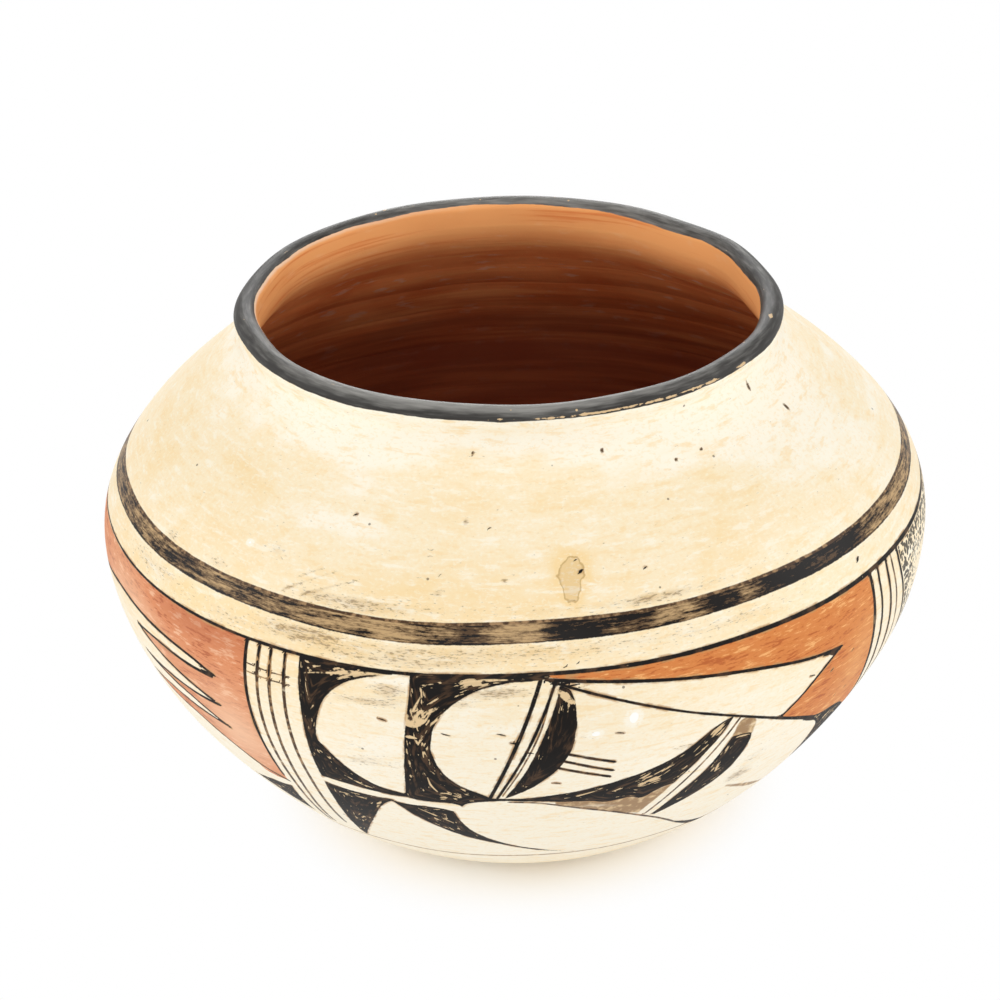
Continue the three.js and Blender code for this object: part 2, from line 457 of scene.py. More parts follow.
def gap_to(spot, narrow, line):
    """The distance from each spot to a line, positive on the line's right and negative on its
    left, and how far along the line its nearest point lies, from 0 to 1. Round the jar,
    distances shrink as the wall draws in."""
    scale = np.stack([narrow, np.ones(len(narrow))], -1)[:, None]
    run = np.concatenate([[0], np.cumsum(np.hypot(*np.diff(line, axis=0).T))])
    gap = np.full(spot.shape[:2], np.inf)
    share = np.zeros(spot.shape[:2])
    for start, end, before, after in zip(line, line[1:], run, run[1:]):
        away, step = (spot - start) * scale, (end - start) * scale
        t = np.clip((away * step).sum(-1) / ((step * step).sum(-1) + 1e-9), 0, 1)
        miss = np.hypot(*np.moveaxis(away - t[..., None] * step, -1, 0))
        side = np.where(away[..., 0] * step[..., 1] > away[..., 1] * step[..., 0], 1, -1)
        nearer = miss < abs(gap)
        gap = np.where(nearer, miss * side, gap)
        share = np.where(nearer, (before + t * (after - before)) / run[-1], share)
    return gap, share


def draw(kind, window, half, gap):
    """Keeps a line where it is the nearest of its paint: half its width, and the signed
    distance to its middle, which stays even across the line and so stays sharp."""
    nearer = half - abs(gap) > half_width[kind][window] - abs(across[kind][window])
    half_width[kind][window] = np.where(nearer, half, half_width[kind][window])
    across[kind][window] = np.where(nearer, gap, across[kind][window])


def stroke(kind, widths, *points, apart=REPEAT):
    """A line of paint through the points, its widths spread evenly from start to end. Lines
    side by side run to and fro, so that between them the distances to both have one sign."""
    line = curve_through(points)
    window, spot, narrow = around(line, apart)
    gap, share = gap_to(spot, narrow, line)
    draw(kind, window, np.interp(share, np.linspace(0, 1, len(widths)), widths) / 2, gap)


def patch(kind, *stretches):
    """A filled shape whose edge is a row of smooth stretches with corners between them. Its
    depth is the distance to the edge, negative outside: a spot is inside if a level line from
    it crosses the edge an odd number of times. Where shapes meet, the greater depth counts."""
    line = np.vstack([curve_through(points) for points in stretches])
    line = np.vstack([line, line[:1]])
    window, spot, narrow = around(line, REPEAT)
    gap = abs(gap_to(spot, narrow, line)[0])
    inside = np.zeros(gap.shape, bool)
    for (a0, s0), (a1, s1) in zip(line, line[1:]):
        if s0 != s1:
            crossing = a0 + (spot[..., 1] - s0) * (a1 - a0) / (s1 - s0)
            inside ^= ((s0 > spot[..., 1]) != (s1 > spot[..., 1])) & (spot[..., 0] < crossing)
    filled[kind][window] = np.maximum(filled[kind][window], np.where(inside, gap, -gap))


# Strip of upright lines left of the discs
stroke("black", [1.1, 0.8], (-70, 121.5), (-70.3, 100), (-70.5, 85), (-71, 75))
stroke("brown", [1.0, 0.9], (-66, 121), (-66.8, 105), (-68, 75), (-70, 60), (-73, 45))
stroke("brown", [0.9, 1.0], (-71, 45), (-67.5, 60), (-65.3, 72), (-63.8, 90), (-62.5, 121))
stroke("brown", [1.0, 0.9], (-58.3, 121), (-59.4, 90), (-60.1, 75), (-63, 50))
for a in (-66.1, -62.6, -58.5):
    stroke("black", [0.9, 0.4], (a, 120.6), (a - 0.1, 118.2))
    stroke("black", [0.7, 0.5], (a - 0.15, 116.8), (a - 0.25, 114.2))
stroke("brown", [0.35], (-69.5, 115.6), (-63, 115.2), (-57, 115.4))
stroke("brown", [0.3], (-69.5, 113.4), (-63, 113.1), (-57, 113.3))

# Black round the first disc
FIRST_DISC = [
    (-30, 121), (-33.5, 120.3), (-40, 118.3), (-44.5, 115.5), (-47.5, 112), (-49.7, 107),
    (-51.3, 99.5), (-50, 96.5), (-45, 89.3), (-39, 84), (-33, 82.1), (-31.5, 81.7),
]
patch(
    "black",
    [(-55, 81.6), (-55, 90), (-54.3, 105), (-54.5, 121.6)],
    [(-54.5, 121.6), (-30, 121.6)],
    FIRST_DISC,
    [(-31, 80), (-38, 80.2), (-45, 81.2), (-55, 82.3)],
)

# The bar between the discs, with the black above and below the second one
SECOND_DISC = [
    (-8.6, 82.3), (-11.5, 84.5), (-16.5, 88), (-20, 92.8), (-21.7, 99), (-21.9, 102),
    (-20.5, 108.5), (-17, 113.5), (-11, 117.7), (-4, 119.7), (2, 120.2), (7, 120.4),
]
patch(
    "black",
    [(-26, 121.6), (-26.5, 114), (-28.2, 103), (-30.6, 85), (-31.5, 81)],
    [(-31, 80), (-27, 79.2), (-19, 79), (-16.5, 77.5)],
    [(-16.5, 77.5), (-15, 79.5), (-8, 80.8), (-4, 81), (3, 81.7)],
    SECOND_DISC,
    [(7, 121.6), (-26, 121.6)],
)

# Lower left: a triangle, and the long tail that curls under the second disc
patch(
    "black",
    [(-60.5, 41), (-58, 56), (-56.5, 66), (-55.3, 79.8)],
    [(-55.3, 79.8), (-48, 78.3), (-35.5, 77.6)],
    [(-35.5, 77.5), (-40, 73), (-48, 59.5), (-54, 50), (-60, 41)],
)
patch(
    "black",
    [(-36.5, 77.5), (-33, 76.5), (-24, 76.3), (-19.3, 75)],
    [(-19.3, 75), (-18, 69), (-14.5, 61.5), (-7, 53.8), (3, 47.6), (12, 43.3), (22.5, 40)],
    [(22.5, 40), (14, 42.3), (2, 47), (-8, 52.8), (-20, 60), (-30, 69), (-34, 74.3)],
)

# The second disc: two slanting lines, a leaf and three short lines
stroke("black", [1.0], (4.7, 120.5), (-2.1, 101), (-8.9, 82.3))
stroke("black", [0.8], (-7, 82.3), (0.6, 100), (8.2, 120))
patch(
    "black",
    [(-5.3, 82), (0, 92.5), (5.5, 107), (8.3, 116), (8.9, 119)],
    [(8.9, 119), (11.5, 117.5), (12.5, 113.5), (12.8, 108.5)],
    [(12.8, 108.5), (11.3, 100), (7.5, 92.8), (1.5, 86.5), (-5.3, 82)],
)
stroke("brown", [0.45], (7.2, 118), (4.2, 107), (-0.8, 94), (-5.6, 83.5))
for start, end in [((11, 99), (22, 94.5)), ((21.8, 91.2), (9.8, 96.7)), ((8.5, 94.3), (21.2, 88.8))]:
    stroke("brown", [1.0], start, end)
    stroke("black", [0.75, 0.45, 0.4, 0.5, 0.75], start, end)

# The wing under the second disc, with a thinner wash below it
patch(
    "black",
    [(-5, 81.7), (3, 82.4), (13, 83.8), (23, 86), (33, 89), (41, 93.2), (48, 98.8), (53.3, 101)],
    [(53.3, 101), (49.3, 93.5), (42.5, 83), (40, 79.4)],
    [(40, 79.4), (36, 78.4), (33, 76), (31, 75.6), (28, 77.2), (22, 76.6), (17, 78.2), (10, 79.2)],
    [(10, 79.2), (3, 80.3), (-5, 81)],
)
patch(
    "wash",
    [(8, 79.8), (20, 78.8), (31, 77.4), (39.9, 79.4)],
    [(39.9, 79.4), (32.5, 66.6)],
    [(32.5, 66.6), (26, 69.6), (20, 72.5), (14, 75.5), (8, 78.2)],
)
stroke(
    "brown", [0.6, 0.8, 0.7],
    (-4, 80.4), (4, 79.3), (14, 75.3), (26, 69.5), (38, 61.5), (45, 55.5), (50, 50.5),
)
patch("black", [(50, 51), (57, 46), (70, 39)], [(70, 37), (62, 40), (55, 45.5), (50, 50)])

# Two slanting stripes of bare slip, parted by a line, and the right leaf
stroke("brown", [0.65], (55, 99.5), (47, 85.5), (35, 65))
patch(
    "black",
    [(54, 93), (57.5, 92.8), (60, 92)],
    [(60, 92), (60.2, 88), (57, 78), (50, 70.5), (38.5, 62.8)],
    [(38.5, 62.8), (37.3, 63.5), (43.5, 73.5), (49, 82), (54, 93)],
)
patch("wash", [(53.8, 93), (55.6, 98.4), (60, 97), (60.3, 91.6)])

# The two long lines that leave the second disc, and the line that joins them
UPPER_LINE = [(6, 120.4), (25, 118), (45, 114.8), (60, 112.3), (75, 109.3), (87, 107.4)]
JOINING_LINE = [(86, 107), (80, 102.8), (75, 98.3), (68.8, 93.3)]
stroke(
    "black", [0.75, 0.75, 0.8, 1.4],
    (7, 119.9), (24, 113.2), (40, 106.3), (54, 100.3), (65, 95), (78, 88), (86, 83.5),
)
stroke("black", [0.9], *UPPER_LINE)
patch("black", [(80, 108.4), (87.6, 107.7)], [(87.6, 107.3), (84.5, 105.6)], [(82.5, 107.1), (80, 107.7)])
stroke("black", [0.9], *JOINING_LINE)

# The orange field right of them, with its black edges
RIGHT_EDGE = [(101, 121.6), (101.8, 110), (104.8, 95), (110, 80), (113, 72)]
patch(
    "orange",
    [(3, 121.3), (8, 121.6), (101, 121.6)],
    RIGHT_EDGE,
    [(113, 70), (105, 77.1), (97.7, 81.1), (91, 82.4), (85, 84.4)],
    [(85, 84.4), (78, 88), (68.8, 93.3)],
    JOINING_LINE[::-1],
    [*UPPER_LINE[:0:-1], (8, 120.6), (3, 121)],
)
stroke("black", [1.3, 1.0], *RIGHT_EDGE)
patch(
    "black",
    [(80, 86.4), (85, 84.6), (91, 82.6), (97.7, 81.3), (105, 77.3), (113, 70.2)],
    [(113, 70.2), (106.5, 65), (102, 59), (99, 52)],
    [(99, 52), (94.8, 61), (93.2, 70), (91.9, 76), (88.5, 80.3), (83.4, 83.5), (80, 85.8)],
)
patch("wash", [(61, 67.4), (75, 59.5), (92, 48.6)], [(92, 48.6), (75, 57.5), (61, 66.6)])

# The right strip of upright lines, and the stippled field with the arc that ends it
ARC = [(112, 71), (119, 66.6), (127, 63.6), (137, 61.4), (150, 60.4), (163, 60.8), (176, 62)]
stroke("black", [1.0], (105, 121), (105, 115), (107.5, 100), (111, 88), (116, 74), (119.5, 66.6))
stroke("black", [1.0], (126, 64.2), (121, 74), (116, 88), (112.5, 100), (109.8, 115), (109.7, 121))
stroke("brown", [0.8], (112.7, 121), (113, 115), (116, 102), (120, 88), (125, 74), (130.5, 63))
stroke("black", [1.1], (116.7, 121), (117, 115), (120, 105), (124.5, 92), (130, 74), (135.5, 61.8))
stroke("black", [0.9], *ARC)
patch(
    "stipple",
    [(117.5, 120.6), (118, 115), (121, 105), (126, 92), (132, 74), (136.5, 61.6)],
    ARC[3:],
    [(175.5, 62.2), (169.6, 80), (171.6, 100), (177.5, 120.6)],
)

# The left panel: red with three long fingers, and three of bare slip between them
PANEL_EDGE = [
    [(-81, 108.1), (-92, 110.5), (-115, 112), (-130, 112.3), (-145.6, 110)],
    [(-145.6, 110), (-155.6, 104), (-161.6, 94), (-164.6, 82), (-164.6, 72), (-169.6, 62)],
    [(-169.6, 62), (-175.6, 80), (-173.6, 100), (-167.6, 121.4)],
]
patch(
    "red",
    [(-70.3, 121.6), (-70.5, 85), (-71, 72)],
    [(-75.5, 71.5), (-80.5, 76), (-81, 108.1)],
    *PANEL_EDGE,
)
patch(
    "red",
    [(-79, 107.6), (-90, 107.4), (-105, 107.8), (-117, 107)],
    [(-117, 107), (-108, 104.8), (-95, 101.8), (-85, 99.3), (-79, 97.5)],
)
patch(
    "red",
    [(-79, 98.4), (-90, 98), (-100, 98.3), (-117, 98.6)],
    [(-117, 98.6), (-104, 96.7), (-93, 94.5), (-83, 90.3), (-79, 88.8)],
)
patch(
    "red",
    [(-79, 90.2), (-95, 91.5), (-105, 92.3), (-118, 91.5)],
    [(-118, 91.5), (-108, 89), (-97, 86.8), (-87, 81), (-79, 75)],
)
for points in PANEL_EDGE:
    stroke("black", [0.9], *points)
stroke("black", [1.0, 0.7], (-82, 107.4), (-90, 107.3), (-105, 107.8), (-117, 107))
stroke("black", [0.7, 1.0], (-117, 107), (-108, 104.8), (-95, 101.8), (-84, 99))
stroke("black", [1.0, 0.7], (-82, 98.3), (-90, 98), (-100, 98.3), (-117, 98.6))
stroke("black", [0.7, 0.9], (-117, 98.6), (-104, 96.7), (-93, 94.5), (-82, 90))
stroke("black", [0.9, 0.6], (-82, 90.2), (-95, 91.5), (-105, 92.3), (-118, 91.5))
stroke("black", [0.6, 0.9], (-118, 91.5), (-108, 89), (-97, 86.8), (-87, 81), (-79, 75), (-71, 72))
patch("black", [(-72, 68.5), (-82, 66), (-92, 62)], [(-92, 62), (-84, 57), (-76, 50)])

# The bands that go all round: a framing line, a broad band above it with a thin line along
# its top, and a faint line below
FRAME_LINE, BROAD_BAND, FAINT_LINE = 121.7, 131.5, 39.9  # their places up the wall
turn = np.pi * round_belly / REPEAT
sway = 0.25 * np.sin(4 * turn) + 0.15 * np.sin(9 * turn + 1)
frame_half = 0.5 + 0.175 * np.sin(turn)
band_half = 2.475 + 0.125 * np.sin(5 * turn + 2)
from_band = up_wall[:, None] - BROAD_BAND - sway
faint = 0.6 - abs(up_wall[:, None] - FAINT_LINE - sway)
draw("black", ..., frame_half, up_wall[:, None] - FRAME_LINE - 0.5 * sway)
draw("brown", ..., 0.35, from_band + 0.3 - band_half)
filled["band"] = np.maximum(NO_PAINT, band_half - abs(from_band))
filled["wash"] = np.maximum(filled["wash"], faint)

# Small dashes and specks that the brush left, and streaks it left bare
DASHES = [
    (-33, 109), (-18, 106), (-5, 106.3), (-2, 103.5), (1.5, 100.3), (23, 104.2), (8, 88.3),
    (77, 103.3),
]
SPECKS = [  # place and width
    (85, 101, 0.6), (93, 103.3, 0.4), (97, 88.5, 0.5), (92.5, 88, 0.4), (98, 126, 1.0),
    (16.9, 144.7, 0.9), (-49.7, 156.6, 0.6), (-20.7, 144.8, 0.3), (-7.8, 156.6, 0.45),
    (34.4, 143.3, 0.5), (16, 147.7, 0.35), (13.6, 123.7, 0.4), (10.8, 123.2, 0.4),
]
SCRATCHES = [
    [(-63.4, 135.1), (-57, 138.8), (-49.5, 142.4)], [(-57.5, 135.2), (-51, 138.2), (-43.5, 141.0)],
    [(-60.5, 138.8), (-57, 140.8), (-53.5, 142.6)], [(-60, 130.6), (-57, 132.2), (-54, 134)],
    [(-62, 126.6), (-54, 127.6), (-45, 126.8)], [(-58, 125), (-52, 125.8), (-47, 125.2)],
]
THIN = (0.2, 0.6, 0.25)
BARE_STREAKS = [  # widths and points
    (THIN, (-26.3, 108.5), (-25.4, 112), (-23.3, 116.5)),
    (THIN, (-21.3, 108.6), (-19.4, 110.8), (-17.3, 112.8)),
    (THIN, (10.5, 80.9), (14, 81.6), (18.3, 82.9)),
    (THIN, (-53, 117.5), (-48, 118.6), (-40, 119.9), (-33, 120.6)),
    (THIN, (-44, 119.9), (-36, 120.5), (-28, 120.6)),
    (THIN, (-15, 119.9), (-9, 120.6), (-2, 120.7)),
    (THIN, (-24, 90), (-23.6, 87), (-22.4, 84.5)),
    (THIN, (-47, 85.5), (-43.5, 83.2), (-40.5, 82)),
    (THIN, (29, 84.4), (33, 85.6), (36, 87.4)),
    (THIN, (-29, 74.6), (-24, 71), (-20.5, 68)),
    ((1.0, 1.9, 1.3), (8.7, 117.4), (10.1, 116.1), (11.7, 114.6)),
    ((0.8, 1.2, 0.6), (-27.6, 111.6), (-25.7, 110.3), (-23.6, 112.4)),
    ((1.8, 2.3, 0.9), (-28.0, 109.3), (-25.6, 108.6), (-22.8, 109.8)),
    ((0.5, 1.0, 0.6), (-22.8, 111.4), (-21.4, 112.5), (-19.6, 113.5)),
    ((0.5, 1.1, 0.5), (-28.2, 105.0), (-26.8, 104.6), (-25.4, 104.4)),
    ((0.3, 1.0, 0.5), (95, 75), (95.2, 77.4), (97.4, 79.4)),
    ((0.3, 0.7, 0.3), (98.3, 74.5), (99, 77), (101.5, 78)),
]
for a, s in DASHES:
    stroke("black", [0.3, 0.5, 0.25], (a - 0.8, s + 0.2), (a, s), (a + 0.8, s - 0.2))
for a, s, wide in SPECKS:
    ends = (a - wide / 4, s), (a + wide / 4, s + wide / 3)
    stroke("black", [0.7 * wide, wide], *ends, apart=2 * REPEAT)
for widths, *points in BARE_STREAKS:
    stroke("bare", widths, *points)


def spots(up, marks):
    """A smooth hill for each mark, exp(-distance^2 in its own half widths) times its height:
    place round and up, half width, half height, and height."""
    total = np.zeros((len(up), PAINTED_COLUMNS))
    narrow = outer(up * MM)[:, :1] / BELLY_RADIUS
    for a, s, wide, high, much in marks:
        aside = from_place(a) * narrow / wide
        total += much * np.exp(-aside**2 - ((up[:, None] - s) / high) ** 2)
    return total


# Wear, stains and smudges of soot, and how black the broad band is round the jar. Wear above 0
# rubs the paint away, and below 0 leaves it thick. A stain near 1 is ochre, below 0 pale slip,
# near 5 a drip of resin, and near -6 a white chip. The wide pale hills from about 150 mm up, under
# the lip, are painted light on the neck and upper shoulder. A smudge near 12 is a black speck.
WORN = [
    (-24, 110, 3.2, 1.6, 0.5), (-24, 116.5, 4, 3, 0.5), (-24, 101, 1.5, 2, 0.8),
    (-16, 82.5, 2, 1.5, 0.8), (-27, 94, 1.5, 3, 0.7), (-21, 83, 2, 2, 0.7),
    (-41, 74.5, 3.5, 2, 0.8), (-50, 60, 1.2, 4, 0.7), (10, 116, 2.6, 2.4, 0.9),
    (32, 83.5, 5, 2.5, 0.8), (45, 91, 2, 2, 0.6), (50.5, 98.5, 4, 3.5, 1.1),
    (57.5, 92.5, 3, 1.6, 0.8), (56, 89.5, 2, 1.5, 0.7), (52.5, 82, 1, 3, 0.7),
    (47, 76.5, 1, 2, 0.7), (-8, 119.8, 10, 1.6, 0.8), (-42, 119.6, 10, 1.3, 0.8),
    (-52, 116, 3, 4, 0.5), (-24, 71, 3, 3, 0.5), (-79, 90, 12, 14, 1.0),
    (-120, 108, 18, 14, 0.9), (-88, 119.8, 26, 4.2, -0.7), (-24, 110, 5, 3.5, 0.35),
    (98, 98, 7, 14, 0.8),
]
STAINS_AND_LIGHT = [
    (15.0, 145.3, 3.5, 4.0, 5.0), (13.8, 140.3, 1.9, 3.0, 5.0), (30, 143, 1.0, 1.0, 0.9),
    (-100, 148, 36, 9, 0.4), (-60, 142, 22, 8, 0.5), (40, 128, 14, 3, -0.4),
    (120, 150, 40, 18, -0.7), (17.5, 101, 1.0, 2.0, 0.6), (27, 109, 1.5, 1.0, -0.9),
    (0, 178, 190, 6, -1.5), (60, 168, 30, 5, -0.6), (-5, 162, 30, 4, 0.7),
    (70, 148, 22, 8, 0.3), (-60, 171, 20, 3, -0.9), (-160, 172, 40, 6, -1.0),
    (150, 140, 30, 20, 0.5), (-165, 140, 20, 16, 0.4), (-10, 126, 60, 4, 1.3),
    (-90, 158, 18, 6, 0.6), (0, 140, 60, 8, 1.2), (17.2, 104.9, 1.6, 1.2, -6.0),
    (26.2, 108.0, 1.6, 2.3, -6.0), (-79.4, 143.0, 1.1, 0.8, -6.0), (95, 163, 26, 9, -0.9),
    (-131, 160, 30, 10, -0.8), (135, 172, 30, 7, -1.0),
]
SMUDGES = [
    (-112, 126, 16, 2.6, 1.0), (-55, 126.2, 15, 2.6, 0.8), (-80, 124.2, 12, 2.0, 0.8),
    (-43, 135.5, 15, 2.2, 1.2), (-28, 124, 20, 1.8, 0.9), (-31, 116.8, 5.0, 2.2, 1.8),
    (-37, 113.4, 9, 1.1, 1.6), (15, 104, 5, 1, 0.6), (60, 126, 20, 1.6, 0.6),
    (-108, 135.2, 3, 2.0, 1.4), (0, 127, 80, 1.6, 0.5), (20, 136.2, 70, 1.6, 0.8),
    (-36, 96, 10, 6, 0.6), (-69.5, 143.3, 3.5, 3.0, 0.9), (-87, 135.6, 5, 2.0, 0.9),
    (-3.5, 143.9, 1.0, 0.6, 2.0), (-20.7, 140.8, 1.6, 1.2, 1.4), (-24.3, 150.2, 1.2, 3.6, 1.0),
    (34, 136, 8, 1.5, 0.9), (-14.8, 158.2, 0.7, 1.0, 2.0), (68.3, 168.5, 0.3, 0.3, 12.0),
    (57.2, 167.9, 0.3, 0.3, 12.0), (116, 166.8, 0.35, 0.9, 12.0), (-6, 117.6, 9, 1.8, 1.6),
    (-14, 114.6, 5, 1.4, 1.3), (-42, 93.5, 8, 1.6, 0.8), (63, 72, 5, 4, 1.5),
    (66, 80, 5, 4, 0.9), (42, 94.5, 6, 1.6, 1.1), (-10, 126.4, 60, 4, 0.6),
    (105.9, 177, 0.35, 0.9, 12.0), (-14.3, 175.3, 0.28, 0.3, 12.0), (32, 174.3, 0.28, 0.4, 12.0),
]
BAND_BLACK = {  # place round the jar, and how black
    -173: 0.44, -150: 0.48, -105: 0.38, -98: 0.60, -90: 0.40, -60: 0.40, -45: 0.32, -26: 0.28,
    -19: 0.38, -12: 0.76, -5: 0.42, 5: 0.30, 11: 0.92, 18: 0.86, 23: 0.50, 30: 0.70, 35: 0.30,
    43: 0.36, 51: 0.84, 60: 0.46, 65: 0.54, 75: 0.92, 98: 0.96, 107: 0.38, 140: 0.34, 173: 0.40,
}
band_black = np.interp(from_place(0), list(BAND_BLACK), list(BAND_BLACK.values()))
wear = {
    "worn": spots(up_wall, WORN),
    "stain_and_light": spots(up_wall, STAINS_AND_LIGHT),
    "smudge": spots(up_wall, SMUDGES),
    "band_black": np.broadcast_to(band_black, wall_grid),
}

for points in SCRATCHES:  # each a faint dark line, as a hill along its own run
    line = curve_through(points)
    window, spot, narrow = around(line, 2 * REPEAT)
    wear["smudge"][window] += 1.1 * np.exp(-(gap_to(spot, narrow, line)[0] / 0.4) ** 2)

first_row = 0
for name in painted:
    coil, _, counts, columns = coils[name]
    rows = slice(first_row, first_row + counts[0])
    first_row += counts[0]
    inside = np.zeros((sum(counts) - counts[0], columns))
    for kind in FILLED:
        keep_number(coil, kind, np.vstack([filled[kind][rows] - NO_PAINT, inside]))
    for kind in DRAWN:
        near = half_width[kind][rows] - abs(across[kind][rows]) - NO_PAINT
        keep_number(coil, kind + "_near", np.vstack([near, inside]))
        keep_number(coil, kind + "_half", np.vstack([half_width[kind][rows], inside]))
        keep_number(coil, kind + "_across", np.vstack([across[kind][rows], inside]))
    for kind, values in wear.items():
        keep_number(coil, kind, np.vstack([values[rows], inside]))
# The rim's slip takes the same stains, and the painted light under the lip
keep_number(rim, "stain_and_light", spots(rim_along / MM, STAINS_AND_LIGHT))
keep_number(rim, "smudge", spots(rim_along / MM, SMUDGES))


# Clay, slip and paint
# The clay fires orange. The slip is a thin coat of pale clay, wiped on and polished with a
# stone, so it clouds with ochre. The paints soak into it and lie nearly flush.
class Finish:
    """The nodes of one material or world. Each call adds a node and gives what comes out."""

    def __init__(self, owner):
        self.owner = owner
        owner.use_nodes = True
        self.tree = owner.node_tree
        self.tree.nodes.clear()
        self.place = self.node("TexCoord", {}, out="Object")

    def node(self, kind, inputs, out=0, **settings):
        """A node of this kind. Each input is a number, a colour or what comes out of another."""
        made = self.tree.nodes.new("ShaderNode" + kind)
        for name, value in settings.items():
            setattr(made, name, value)
        for name, value in inputs.items():
            if isinstance(value, bpy.types.NodeSocket):
                self.tree.links.new(value, made.inputs[name])
            else:
                made.inputs[name].default_value = value
        return made.outputs[out]

    def math(self, operation, *values):
        """One sum on numbers, such as the larger of two."""
        return self.node("Math", dict(enumerate(values)), operation=operation)

    def times(self, a, b):
        """a times b."""
        return self.math("MULTIPLY", a, b)

    def weigh(self, *parts, plus=0.0):
        """Values added up, each times its weight, and a plain number with them."""
        for value, weight in parts:
            plus = self.math("MULTIPLY_ADD", value, weight, plus)
        return plus

    def kept(self, name):
        """A number that the piece keeps at its vertices."""
        return self.node("Attribute", {}, out="Fac", attribute_name=name)

    def depth(self, name):
        """The depth inside a paint's edge, in millimetres; a piece without it has no paint."""
        return self.math("ADD", self.kept(name), NO_PAINT)

    def above_ground(self):
        """The height above the ground, in metres."""
        return self.node("SeparateXYZ", {"Vector": self.place}, out="Z")

    def grain(self, scale, detail=2.0, stretch=(1, 1, 1), crisp=0.5, moved=(0, 0, 0)):
        """Noise from 0 to 1, `scale` lumps to the metre, drawn out where stretch is below 1.
        Each finer layer of it is `crisp` times as strong as the one before."""
        inputs = {0: self.place, 1: stretch, 2: moved}
        place = self.node("VectorMath", inputs, operation="MULTIPLY_ADD")
        inputs = {"Vector": place, "Scale": scale, "Detail": detail, "Roughness": crisp}
        return self.node("TexNoise", inputs)

    def dots(self, scale):
        """The distance to the nearest of many scattered points, `scale` of them to the metre,
        as a share of the room that each has."""
        return self.node("TexVoronoi", {"Vector": self.place, "Scale": scale}, out="Distance")

    def rise(self, value, low, high, most=1.0):
        """0 below low, `most` above high, and a smooth step between them."""
        inputs = {"Value": value, "From Min": low, "From Max": high, "To Max": most}
        return self.node("MapRange", inputs, interpolation_type="SMOOTHSTEP")

    def layered(self, colour, *layers):
        """Colours laid over one another. Each layer is a colour and the share that it covers,
        from 0 to 1, or a colour and what `rise` makes the share of."""
        for above, share, *step in layers:
            share = self.rise(share, *step) if step else share
            inputs = {0: share, 6: colour, 7: above}
            colour = self.node("Mix", inputs, out=2, data_type="RGBA")
        return colour

    def blend(self, share, below, above):
        """One number laid over another by a share from 0 to 1."""
        return self.node("Mix", {0: share, 2: below, 3: above}, out=0, data_type="FLOAT")

    def seen_white(self):
        """1 for what the camera, a mirror or glass sees, and 0 for light that falls on things."""
        camera_ray = self.node("LightPath", {}, out="Is Camera Ray")
        rays = camera_ray.node.outputs
        mirrored = self.math("MAXIMUM", camera_ray, rays["Is Glossy Ray"])
        return self.math("MAXIMUM", mirrored, rays["Is Transmission Ray"])

    def end(self, surface, kind="OutputMaterial"):
        """Sends the surface to the output, and gives the material or world that has it."""
        output = self.tree.nodes.new("ShaderNode" + kind)
        self.tree.links.new(surface, output.inputs["Surface"])
        return self.owner

    def done(self, colour, roughness, height, specular):
        """The whole surface, with bumps as high as `height` in millimetres."""
        inputs = {
            "Base Color": colour,
            "Roughness": roughness,
            "Normal": self.node("Bump", {"Height": height, "Distance": MM, "Strength": 1.0}),
            "Specular IOR Level": specular,
        }
        return self.end(self.node("BsdfPrincipled", inputs))


def seen(red, green, blue):
    """A colour as it looks on a screen, from 0 to 255, in the light's own even steps."""
    share = np.array([red, green, blue]) / 255
    even = np.where(share <= 0.04045, share / 12.92, ((share + 0.055) / 1.055) ** 2.4)
    return (*even.tolist(), 1.0)


CLAY, CLAY_RED, CLAY_PALE = seen(253, 161, 97), seen(233, 130, 70), seen(255, 182, 114)
CLAY_PAINTED_SHADE = seen(108, 46, 28)  # painted shade on the inside below the neck
SLIP, SLIP_OCHRE, SLIP_PALE = seen(247, 230, 196), seen(244, 215, 162), seen(250, 242, 223)
CHALK = seen(254, 252, 247)  # where the slip is chipped
SMUDGE, SOOT, SPECK = seen(182, 146, 94), seen(110, 82, 48), seen(70, 48, 30)
RESIN = seen(172, 132, 66)
NECK_LIT, DARK_BELOW = 130 * MM, 92 * MM  # heights between which the inside is painted from lit to shaded
SLIP_ENDS = 1.8, 3.0  # heights above the ground between which the slip sets in, in millimetres


def bare_clay(f):
    """Scraped clay: colour, roughness and height of fine level grooves, clouds and grit. Inside the
    jar it has painted light, paler near the lip, and painted shade that darkens below the neck, but not
    under the foot."""
    scrape = f.grain(95, 5, (0.16, 0.16, 3.4))
    cloud = f.grain(30, 4, (1, 1, 2.2))
    grit = f.grain(1300, 2)
    dabs = f.grain(300, 5, (0.4, 0.4, 1.2))
    streaks = f.grain(150, 6, (0.10, 0.10, 3.0), 0.6)
    # Painted light and shade: the clay is painted paler near the lip, as if lit, and dark below the neck,
    # as if in shade, with a ragged edge from the scrape noise
    level = f.weigh((scrape, 16 * MM), (f.above_ground(), 1.0))
    deep = f.rise(level, NECK_LIT, DARK_BELOW, 0.94)
    deep = f.times(deep, f.rise(level, 10 * MM, 15 * MM))
    colour = f.layered(
        CLAY,
        (CLAY_RED, cloud, 0.40, 0.66),
        (CLAY_PALE, scrape, 0.52, 0.70, 0.7),
        (CLAY_PALE, grit, 0.64, 0.74, 0.35),
        (SLIP_PALE, dabs, 0.58, 0.70, 0.26),
        # painted light: paler clay near the lip
        (CLAY_PALE, level, NECK_LIT, 146 * MM, 0.8),
        (CLAY_RED, streaks, 0.47, 0.33, 0.7),
        # painted shade: dark clay below the neck
        (f.layered(CLAY_PAINTED_SHADE, (CLAY_RED, scrape, 0.38, 0.70, 0.15)), deep),
    )
    height = f.weigh((f.rise(grit, 0.64, 0.74), -0.05), (scrape, 0.16))
    return colour, f.blend(scrape, 0.86, 0.66), height


